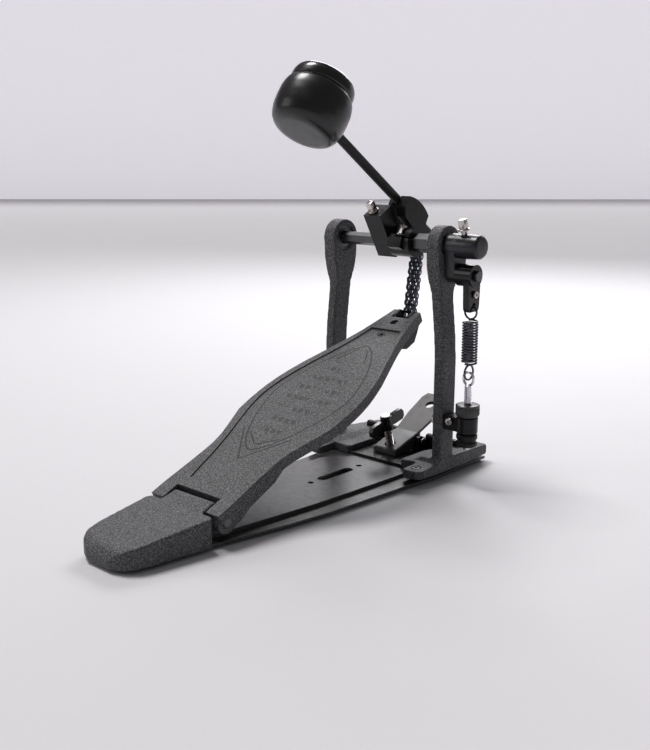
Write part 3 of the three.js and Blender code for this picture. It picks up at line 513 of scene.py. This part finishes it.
COAT = powder_coat("powder_coat", (0.042, 0.042, 0.045))
BOARD_COAT = powder_coat("board_powder_coat", (0.044, 0.044, 0.046), board_engraving)
SATIN = lacquer("satin_charcoal", (0.030, 0.027, 0.029), 0.36, 500, 0.012, 0.0, 0.0, 0.6)
BLACK = lacquer("satin_black", (0.005, 0.005, 0.006), 0.32, 650, 0.02, 0.0, 0.0)
HUB_BLACK = scaled_hub("hub_black", (0.012, 0.013, 0.018), 0.32)
ROLLER = metal("roller_steel", (0.66, 0.66, 0.7), 0.2, None, 0.06)
GLOSS_BLACK = lacquer("gloss_black", (0.004, 0.004, 0.005), 0.22, 300, 0.015, 0.15, 0.1)
CHAIN_BLACK = metal("chain_black", (0.05, 0.055, 0.07), 0.3, None, 0.1)
PIN_STEEL = metal("pin_steel", (0.5, 0.5, 0.54), 0.28, None, 0.08)
SHAFT = metal("shaft_steel", (0.13, 0.13, 0.135), 0.36, (1, 14, 14), 0.08)
BRIGHT = metal("bright_nickel", (0.60, 0.56, 0.53), 0.24, None, 0.07)
CHROME = metal("polished_chrome", (0.74, 0.74, 0.78), 0.1, (6, 6, 0.5), 0.05)
RUBBER = ribbed_rubber("grip_rubber")
BEATER = moulded("beater_black", (0.004, 0.004, 0.005), 0.3, 0.1)
BEATER_CAP = moulded("beater_cap_black", (0.004, 0.004, 0.005), 0.24, 0.15)
ROD_BLACK = lacquer("rod_black", (0.009, 0.009, 0.010), 0.5, 900, 0.03)
SPRING_BLACK = metal("spring_black", (0.10, 0.10, 0.115), 0.18, None, 0.06)
BUSHING = moulded("bushing_black", (0.02, 0.02, 0.02), 0.5)

# ---------------------------------------------------------------- castings and pressings
machined("footboard_shell", "footboard", BOARD_COAT, "powder_coat", 1.1, 4)
cast("heel_plate_shell", ["heel_plate"], COAT, "powder_coat", 0.8, 20)
cast("left_upright", ["left_post", "left_foot"], COAT, "powder_coat", 0.8, 5)
cast("right_upright", ["right_post", "right_foot"], COAT, "powder_coat", 0.8, 5)
machined("base_plate_pressing", "base_plate", SATIN, "satin_steel", 0.7, 3)
machined("front_grip", "front_grip_pad", RUBBER, "grip_rubber", 0.4)
machined("rear_grip", "rear_grip_pad", RUBBER, "grip_rubber", 0.4)
machined("hoop_jaw_pressing", "hoop_jaw", SATIN, "satin_steel", 0.5, 3)
machined("cross_web_casting", "cross_web", GLOSS_BLACK, "black_metal", 0.6, 3)
machined("toe_bracket_pressing", "toe_bracket", BLACK, "black_metal", 0.45, 3)
machined("cam_casting", "cam", BLACK, "black_metal", 0.5, 3)
machined("clamp_block_casting", "clamp_block", BLACK, "black_metal", 0.8, 3)
machined("spring_bracket_casting", "spring_bracket", BLACK, "black_metal", 0.5, 3)
machined("swivel_link_casting", "swivel_link", GLOSS_BLACK, "black_metal", 0.6, 3)
machined("rocker_hub_casting", "rocker_hub", HUB_BLACK, "black_metal", 0.7, 3)
machined("wing_casting", "wing_head", GLOSS_BLACK, "black_metal", 0.9, 4)


# ---------------------------------------------------------------- turned and bent pieces
def turned(name, node, material, slot, base, direction, profile, soft=0.3, bore=None, steps=96):
    bm = bmesh.new()
    outline = rounded(profile, soft)
    if bore:
        outline = [(bore, profile[0][1])] + rounded(profile, soft)[1:-1] + [(bore, profile[-1][1])]
    add_lathe(bm, outline, base, direction, steps)
    return settle(make_object(name, bm, 40), material, slot, node)


def socket_screw(name, node, material, base, direction, shank, length, head, depth, hexagon,
    slot="black_metal"):
    """Cap screw with a hexagonal socket in its head."""
    obj = turned(name, node, material, slot, base, direction, [
        (0, 0), (shank, 0), (shank, length), (head, length), (head, length + depth), (0,
            length + depth)], 0.35)
    tool_mesh = bmesh.new()
    turn = Z_AXIS.rotation_difference(direction.normalized())
    outline = hexagon_outline(hexagon, 0)
    add_prism(tool_mesh, outline, base, turn @ X_AXIS, turn @ Y_AXIS, direction.normalized(),
              length + depth * 0.3, length + depth + 4)
    tool = make_object("tool", tool_mesh)
    cut = obj.modifiers.new("socket", "BOOLEAN")
    cut.operation = "DIFFERENCE"
    cut.object = tool
    bake_modifiers(obj)
    bpy.data.objects.remove(tool)
    obj.data.set_sharp_from_angle(angle=math.radians(35))
    return obj


def square_bolt(name, node, from_point, direction, gap=0.0, flange=4.3):
    """Drum-key bolt: round flange below a square head with softened corners."""
    bm = bmesh.new()
    base = from_point + direction * gap * MM
    add_lathe(bm, rounded([(0, -gap + 0.05), (2.2, -gap + 0.05), (2.2, 0.2), (flange, 0.2),
                           (flange, 1.1), (flange - 0.5, 1.5), (0, 1.5)], 0.2), base, direction, 72)
    obj = make_object(name, bm, 40)
    head = bmesh.new()
    turn = X_AXIS.cross(direction)
    square = [(-2.6, -2.6), (2.6, -2.6), (2.6, 2.6), (-2.6, 2.6)]
    add_prism(head, square, base, X_AXIS, turn, direction, 1.4, 8.6)
    top = make_object("head", head)
    bevel(top, 0.45, 4)
    bake_modifiers(top)
    both = bmesh.new()
    both.from_mesh(obj.data)
    both.from_mesh(top.data)
    both.to_mesh(obj.data)
    both.free()
    bpy.data.objects.remove(top)
    for polygon in obj.data.polygons:
        polygon.use_smooth = True
    obj.data.set_sharp_from_angle(angle=math.radians(35))
    return settle(obj, BRIGHT, "bright_nickel", node)



turned("hinge_pin_turned", "hinge_pin", SHAFT, "bright_nickel", point(0, *HINGE), X_AXIS, [
    (0, -34.2), (3.4, -34.2), (3.4, -33), (2.3, -33), (2.3, 33), (3.4, 33), (3.4, 34.2), (0,
        34.2)], 0.4)
for side, node in ((-1, "hinge_bushing_left"), (1, "hinge_bushing_right")):
    turned(node + "_ring", node, BUSHING, "bushing_plastic", point(side * 23.25, *HINGE), X_AXIS, [
        (2.6, -0.65), (5, -0.65), (5, 0.65), (2.6, 0.65)], 0.15, 2.6)

for name in ("toe_screw_rear", "toe_screw_front"):
    station = 201.5 if name.endswith("rear") else 219
    base = BOARD_ORIGIN + BOARD_ALONG * station * MM + BOARD_UP * -12.4 * MM
    socket_screw(name + "_cap", name, BLACK, base, BOARD_UP, 1.6, 9.3, 3.2, 2.2, 1.5)
for side, node in ((-1, "foot_screw_left"), (1, "foot_screw_right")):
    socket_screw(node + "_cap", node, BLACK, point(side * FOOT_SCREW[0], FOOT_SCREW[1], 7.4), Z_AXIS,
        1.7, 4.9, 3.2, 1.5, 1.5)
socket_screw("link_screw_cap", "link_screw", BRIGHT, point(79, 0, 148.6), X_AXIS, 1.5, 1.9, 2.7, 1.9,
    1.3,
             "bright_nickel")
socket_screw("bracket_screw_cap", "bracket_screw", BRIGHT, point(66.4, -3.1, 50), -Y_AXIS, 1.6, 3.4,
    2.8, 2.1,
             1.4, "bright_nickel")

# bearings: outer ring, shield in a groove and inner ring around the shaft
for side, node in ((-1, "left_bearing"), (1, "right_bearing")):
    profile = [(5.5, -4.3), (7, -4.3), (7.2, -3.7), (8.3, -3.7), (8.5, -4.3), (9.6, -4.3),
               (9.6, 4.3), (8.5, 4.3), (8.3, 3.7), (7.2, 3.7), (7, 4.3), (5.5, 4.3)]
    turned(node + "_rings", node, SHAFT, "shaft_steel", point(side * BEARING_X, 0, SHAFT_Z), X_AXIS,
        profile, 0.12, 5.5)

shaft_bm = bmesh.new()
hexagon = hexagon_outline(5.2)
collar = hexagon_outline(7.4)
shaft_origin = point(0, 0, SHAFT_Z)
add_prism(shaft_bm, hexagon, shaft_origin, Y_AXIS, Z_AXIS, X_AXIS, -57, 27.2)
add_prism(shaft_bm, collar, shaft_origin, Y_AXIS, Z_AXIS, X_AXIS, 27.2, 45.2)
add_prism(shaft_bm, hexagon, shaft_origin, Y_AXIS, Z_AXIS, X_AXIS, 45.2, 79)
shaft = make_object("hex_shaft_ground", shaft_bm)
bevel(shaft, 0.45, 3)
settle(shaft, SHAFT, "shaft_steel", "hex_shaft")

CORNER = Vector((0, -20.7, SHAFT_Z + 20.1)) * MM
BLOCK_UP = Vector((0, -0.501, 0.8654))
BLOCK_BACK = Vector((0, 0.8654, 0.501))
square_bolt("block_key_bolt", "block_bolt", point(-4.4, 0, 0) + CORNER + BLOCK_BACK * 6 * MM, BLOCK_UP)
PINCH = Vector((0, 0.4, 0.9165)).normalized()
pinch_spot = point(16, -0.9165 * 8.6 + 0.4 * 1.5, SHAFT_Z + 0.4 * 8.6 + 0.9165 * 1.5)
square_bolt("cam_key_bolt", "cam_bolt", pinch_spot, PINCH, 0, 3.8)
key_lean = Vector((0, -math.sin(math.radians(16)), math.cos(math.radians(16))))
square_bolt("rocker_key_bolt", "rocker_bolt", point(72, 0, SHAFT_Z) + key_lean * 9.3 * MM, key_lean, 3)

turned("chain_anchor_rivet", "chain_anchor_pin", BRIGHT, "bright_nickel", point(0, *ANCHOR), X_AXIS, [
    (0, -10.6), (1.9, -10.6), (1.9, -9.7), (1, -9.7), (1, 9.7), (1.9, 9.7), (1.9, 10.6), (0,
        10.6)], 0.3)
turned("jaw_pin_rivet", "jaw_pin", BRIGHT, "bright_nickel", point(0, *JAW_PIN), X_AXIS, [
    (0, -18.2), (2.8, -18.2), (2.8, -17.2), (1.7, -17.2), (1.7, 17.2), (2.8, 17.2), (2.8, 18.2), (0,
        18.2)], 0.35)

# ---------------------------------------------------------------- beater
ROD = point(3, 0, SHAFT_Z) + RISE * 28.8 * MM
turned("beater_rod_bar", "beater_rod", ROD_BLACK, "black_metal", ROD, ALONG, [
    (0, -40), (3.6, -40), (3.6, 148.3), (0, 148.3)], 0.7)
HEAD = ROD + ALONG * 130.3 * MM
head_profile = rounded([
    (0, -20), (17, -20), (21.5, -18.6), (24.6, -15), (26.3, -9), (26.8, -1), (26.5, 6), (25.4,
        11), (23.6, 13.6),
    (22.4, 13.6), (0, 13.6)], 2.2)
head_bm = bmesh.new()
add_lathe(head_bm, head_profile, HEAD, RISE, 128)
head = make_object("beater_head_turned", head_bm, 40)
tool_bm = bmesh.new()
add_lathe(tool_bm, [(0, -40), (3.9, -40), (3.9, 18.3), (0, 18.3)], HEAD, ALONG, 64)
tool = make_object("tool", tool_bm)
bore = head.modifiers.new("bore", "BOOLEAN")
bore.operation = "DIFFERENCE"
bore.object = tool
bake_modifiers(head)
bpy.data.objects.remove(tool)
bevel(head, 0.5, 3, 35)
settle(head, BEATER, "beater_plastic", "beater_head")
turned("beater_cap_turned", "beater_cap", BEATER_CAP, "beater_plastic", HEAD, RISE, [
    (0, 13.9), (22.6, 13.9), (23.6, 15.2), (23.4, 20), (22, 23.6), (18, 25.6), (10, 26.6), (0,
        26.9)], 1.6, None, 128)

# ---------------------------------------------------------------- chain
chain_top = point(0, *ANCHOR)
chain_step = (point(0, *TOE_PIN) - chain_top) / (2 * CHAIN_LINKS)


def link_outline(length, radius=2.6, waist=1.75):
    """Figure-of-eight plate around two rivets, in (across, along) millimetres."""
    out = []
    for i in range(49):
        a = math.radians(-200 + 220 * i / 48)
        out.append((radius * math.cos(a), radius * math.sin(a)))
    out.append((waist, length / 2))
    for i in range(49):
        a = math.radians(-20 + 220 * i / 48)
        out.append((radius * math.cos(a), length + radius * math.sin(a)))
    out.append((-waist, length / 2))
    return out


down = chain_step.normalized()
chain_side = X_AXIS.cross(down)
pitch = chain_step.length / MM
for i in range(CHAIN_LINKS):
    bm = bmesh.new()
    first = chain_top + chain_step * (2 * i)
    middle = chain_top + chain_step * (2 * i + 1)
    last = chain_top + chain_step * (2 * i + 2)
    for row in (-CHAIN_ROW_X, CHAIN_ROW_X):
        for side in (-1, 1):
            for start, near, far in ((first, 0.8, 1.42), (middle, 1.78, 2.4)):
                low, high = sorted((row + side * near, row + side * far))
                add_prism(bm, link_outline(pitch), start, chain_side, down, X_AXIS, low, high)
        for place in (first, middle):
            add_lathe(bm, [(1.35, row - 0.72), (1.8, row - 0.66), (1.8, row + 0.66),
                (1.35, row + 0.72)], place,
                      X_AXIS, 32, 1)
    for place in (middle, last):
        add_lathe(bm, rounded([(0, -5.6), (0.98, -5.6), (0.98, 5.6), (0, 5.6)], 0.25), place, X_AXIS,
            28, 2)
    obj = make_object(f"chain_link_{i + 1}_plates", bm, 35)
    bevel(obj, 0.12, 2, 50)
    for material in (CHAIN_BLACK, ROLLER, PIN_STEEL):
        obj.data.materials.append(material)
    settle(obj, CHAIN_BLACK, "black_metal", f"chain_link_{i + 1}")

# ---------------------------------------------------------------- spring side
pin_bm = bmesh.new()
add_lathe(pin_bm, rounded([(0, 59.4), (2.5, 59.4), (2.5, 83.2), (0, 83.2)], 0.3),
    point(0, 0, SWIVEL_Z), X_AXIS, 64)
add_prism(pin_bm, hexagon_outline(4.3), point(0, 0, SWIVEL_Z), Y_AXIS, Z_AXIS, X_AXIS, 82.2, 84.6)
swivel_pin = make_object("swivel_pin_hex", pin_bm)
bevel(swivel_pin, 0.4, 3, 35)
settle(swivel_pin, SHAFT, "bright_nickel", "swivel_pin")

TURNS = 15
COIL_LOW = 96.8
COIL_HIGH = 128.2
coil_path = []
for i in range(TURNS * 40 + 1):
    t = i / (TURNS * 40)
    a = 2 * math.pi * TURNS * t
    coil_path.append(point(SPRING_X + COIL_R * math.cos(a), COIL_R * math.sin(a),
        COIL_LOW + (COIL_HIGH - COIL_LOW) * t))
for i in range(1, 25):
    t = i / 24
    a = math.pi * t
    r = COIL_R * (1 - t * t)
    rise = 1.4 * t
    coil_path.append(point(SPRING_X + r * math.cos(a), r * math.sin(a), COIL_HIGH + rise))
    coil_path.insert(0, point(SPRING_X + r * math.cos(-a), r * math.sin(-a), COIL_LOW - rise))
coil_bm = bmesh.new()
add_tube(coil_bm, coil_path, WIRE_R, 14)
coil = make_object("spring_coil_wire", coil_bm, 60)
coil.data.materials.append(SPRING_BLACK)
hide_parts("spring_coil")
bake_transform(coil)


def hook(name, node, centre_z, radius, across):
    path = []
    for i in range(96):
        a = 2 * math.pi * i / 96
        offset = across * math.cos(a) + Z_AXIS * math.sin(a)
        path.append(point(SPRING_X, 0, centre_z) + offset * radius * MM)
    bm = bmesh.new()
    add_tube(bm, path, WIRE_R, 14, True)
    settle(make_object(name, bm, 60), SPRING_BLACK, "black_metal", node)


hook("spring_hook_top_ring", "spring_hook_top", 135.4, 5.2, X_AXIS)
hook("spring_hook_bottom_ring", "spring_hook_bottom", 89.3, 5.6, Y_AXIS)

# threaded tension rod with a flat eye
rod_bm = bmesh.new()
thread = [(0, 28.5), (2.2, 28.5), (2.5, 29)]
for i in range(71):
    z = 29.2 + 0.7 * i
    thread += [(2.45, z), (2.85, z + 0.22), (2.85, z + 0.38), (2.45, z + 0.6)]
thread += [(2.6, 79.2), (0, 79.6)]
add_lathe(rod_bm, thread, point(SPRING_X, 0, 0), Z_AXIS, 40)
threaded = make_object("tension_rod_thread", rod_bm, 25)
eye_path = [point(SPRING_X + x, 0, z) for x, z in
            arc(0, 83.7, 4.3, 180, 360, 28) + arc(0, 85.2, 4.3, 0, 180, 28)]
eye_bm = bmesh.new()
add_tube(eye_bm, eye_path, 1.0, 16, True)
eye_bm.from_mesh(threaded.data)
eye_bm.to_mesh(threaded.data)
eye_bm.free()
for polygon in threaded.data.polygons:
    polygon.use_smooth = True
settle(threaded, CHROME, "chrome", "tension_rod")


def knurled(name, node, material, slot, rows, bore, ridges):
    """Knurled ring: rows of (height, radius, depth of the ridges) about the spring's axis."""
    bm = bmesh.new()
    steps = ridges * 4
    rings = []
    for height, radius, depth in rows:
        ring = []
        for i in range(steps):
            a = 2 * math.pi * i / steps
            r = radius - depth * (0.5 - 0.5 * math.cos(ridges * a))
            ring.append(bm.verts.new(point(SPRING_X + r * math.cos(a), r * math.sin(a), height)))
        rings.append(ring)
    for height in (rows[-1][0], rows[0][0]):
        ring = []
        for i in range(steps):
            a = 2 * math.pi * i / steps
            ring.append(bm.verts.new(point(SPRING_X + bore * math.cos(a), bore * math.sin(a), height)))
        rings.append(ring)
    for k in range(len(rings)):
        low, high = rings[k], rings[(k + 1) % len(rings)]
        for i in range(steps):
            j = (i + 1) % steps
            bm.faces.new((low[i], low[j], high[j], high[i]))
    return settle(make_object(name, bm, 35), material, slot, node)


knurled("tension_nut_knurl", "tension_nut", SATIN, "satin_steel", [
    (55.3, 7.9, 0), (55.5, 8.3, 0), (56.2, 8.4, 0), (56.5, 8.9, 0.1), (56.8, 9.2, 0.4), (62.2, 9.2,
        0.4),
    (62.5, 8.9, 0.1), (62.9, 8.9, 0), (63.2, 9.2, 0), (63.9, 9.2, 0), (64.3, 8.8, 0), (64.5, 8.2,
        0)], 3.15, 36)
knurled("lock_nut_knurl", "lock_nut", BLACK, "black_metal", [
    (31.5, 6.7, 0), (31.8, 7.2, 0), (32.6, 8, 0.1), (33, 8.1, 0.3), (34.8, 8.1, 0.3), (35.2, 7.6,
        0), (35.8, 7.2, 0),
    (37, 7.2, 0), (37.6, 7.8, 0.1), (38, 8.1, 0.3), (40.5, 8.1, 0.3), (41.2, 7.7, 0), (41.6, 7.2,
        0)], 3.15, 30)
bolt_bm = bmesh.new()
add_lathe(bolt_bm, rounded([(0, 48.6), (2.6, 48.6), (2.6, 67.6), (0, 67.6)], 0.3),
    point(0, 0, BRACKET_Z), X_AXIS, 48)
add_prism(bolt_bm, hexagon_outline(5), point(0, 0, BRACKET_Z), Y_AXIS, Z_AXIS, X_AXIS, 47.4, 50.8)
bracket_bolt = make_object("bracket_bolt_hex", bolt_bm)
bevel(bracket_bolt, 0.4, 3, 35)
settle(bracket_bolt, BRIGHT, "bright_nickel", "bracket_bolt")

# ---------------------------------------------------------------- wing bolt's stem
WING_LEAN = math.radians(15.2)
WING_UP = Vector((0, -math.sin(WING_LEAN), math.cos(WING_LEAN)))
WING_FOOT = point(0, 5.3, 12.9)
stem_profile = [(0, -3.4), (2.6, -3.4), (2.9, -3)]
for i in range(28):
    z = -2.8 + 0.7 * i
    stem_profile += [(2.75, z), (3.1, z + 0.22), (3.1, z + 0.38), (2.75, z + 0.6)]
stem_profile += [(3.1, 17.2), (3.1, 29.2), (3.7, 29.2), (4, 29.5), (4, 30.1), (3.7, 30.4), (0, 30.4)]
stem_bm = bmesh.new()
add_lathe(stem_bm, stem_profile, WING_FOOT, WING_UP, 48)
settle(make_object("clamp_stem_thread", stem_bm, 25), BRIGHT, "chrome", "clamp_stem")

floor_bm = bmesh.new()
bmesh.ops.create_circle(floor_bm, cap_ends=True, segments=96, radius=40)
floor = make_object("floor", floor_bm)
paper = Shader("floor_paper", (0.66, 0.65, 0.67), 0.0, 0.8)
paper.roughness(paper.ramp(paper.noise(9, 3.0), 0.3, 0.7, 0.7, 0.82))
floor.data.materials.append(paper.material)
wall_bm = bmesh.new()
add_prism(wall_bm, [(-9000, -200), (9000, -200), (9000, 1700), (-9000, 1700)], Vector((-3, 3.3, 0)),
          Vector((0.74, 0.67, 0)), Z_AXIS, Vector((-0.67, 0.74, 0)), 0, 20)
wall = make_object("backdrop", wall_bm)
plaster = Shader("backdrop_paper", (0.75, 0.73, 0.77), 0.0, 0.9)
plaster.surface.inputs["Emission Color"].default_value = (0.78, 0.76, 0.81, 1)
plaster.surface.inputs["Emission Strength"].default_value = 0.6
wall.data.materials.append(plaster.material)

# ---------------------------------------------------------------- camera and light
camera_data = bpy.data.cameras.new("camera")
camera_data.sensor_width = 36
camera_data.lens = 986.42 * 36 / 750
camera = bpy.data.objects.new("camera", camera_data)
camera.location = (0.4881, -0.6089, 0.2532)
camera.rotation_euler = (math.radians(90 - 12.87), 0, math.radians(42.46))
bpy.context.scene.collection.objects.link(camera)
bpy.context.scene.camera = camera


def area_light(name, place, target, size, power, tint=(1, 1, 1)):
    data = bpy.data.lights.new(name, "AREA")
    data.shape = "RECTANGLE"
    data.size, data.size_y = size
    data.energy = power
    data.color = tint
    lamp = bpy.data.objects.new(name, data)
    lamp.location = place
    lamp.rotation_euler = (Vector(target) - Vector(place)).to_track_quat("-Z", "Y").to_euler()
    bpy.context.scene.collection.objects.link(lamp)


sun_data = bpy.data.lights.new("key", "SUN")
sun_data.energy = 2.2
sun_data.angle = math.radians(22)
sun_data.color = (1.0, 0.98, 0.98)
sun = bpy.data.objects.new("key", sun_data)
sun.rotation_euler = (Vector((0, 0, 0)) - Vector((-0.45, -0.05, 1.0))).to_track_quat("-Z",
    "Y").to_euler()
bpy.context.scene.collection.objects.link(sun)
area_light("rim", (-0.5, 1.0, 0.9), (0, 0, 0.15), (0.9, 0.5), 12, (0.98, 0.98, 1.0))
area_light("fill", (-0.9, -1.2, 0.8), (0, -0.1, 0.1), (0.7, 0.7), 2.5)
world = bpy.data.worlds.new("studio")
world.use_nodes = True
world.node_tree.nodes["Background"].inputs["Color"].default_value = (0.86, 0.85, 0.88, 1)
world.node_tree.nodes["Background"].inputs["Strength"].default_value = 0.2
bpy.context.scene.world = world
bpy.context.scene.view_settings.view_transform = "Standard"
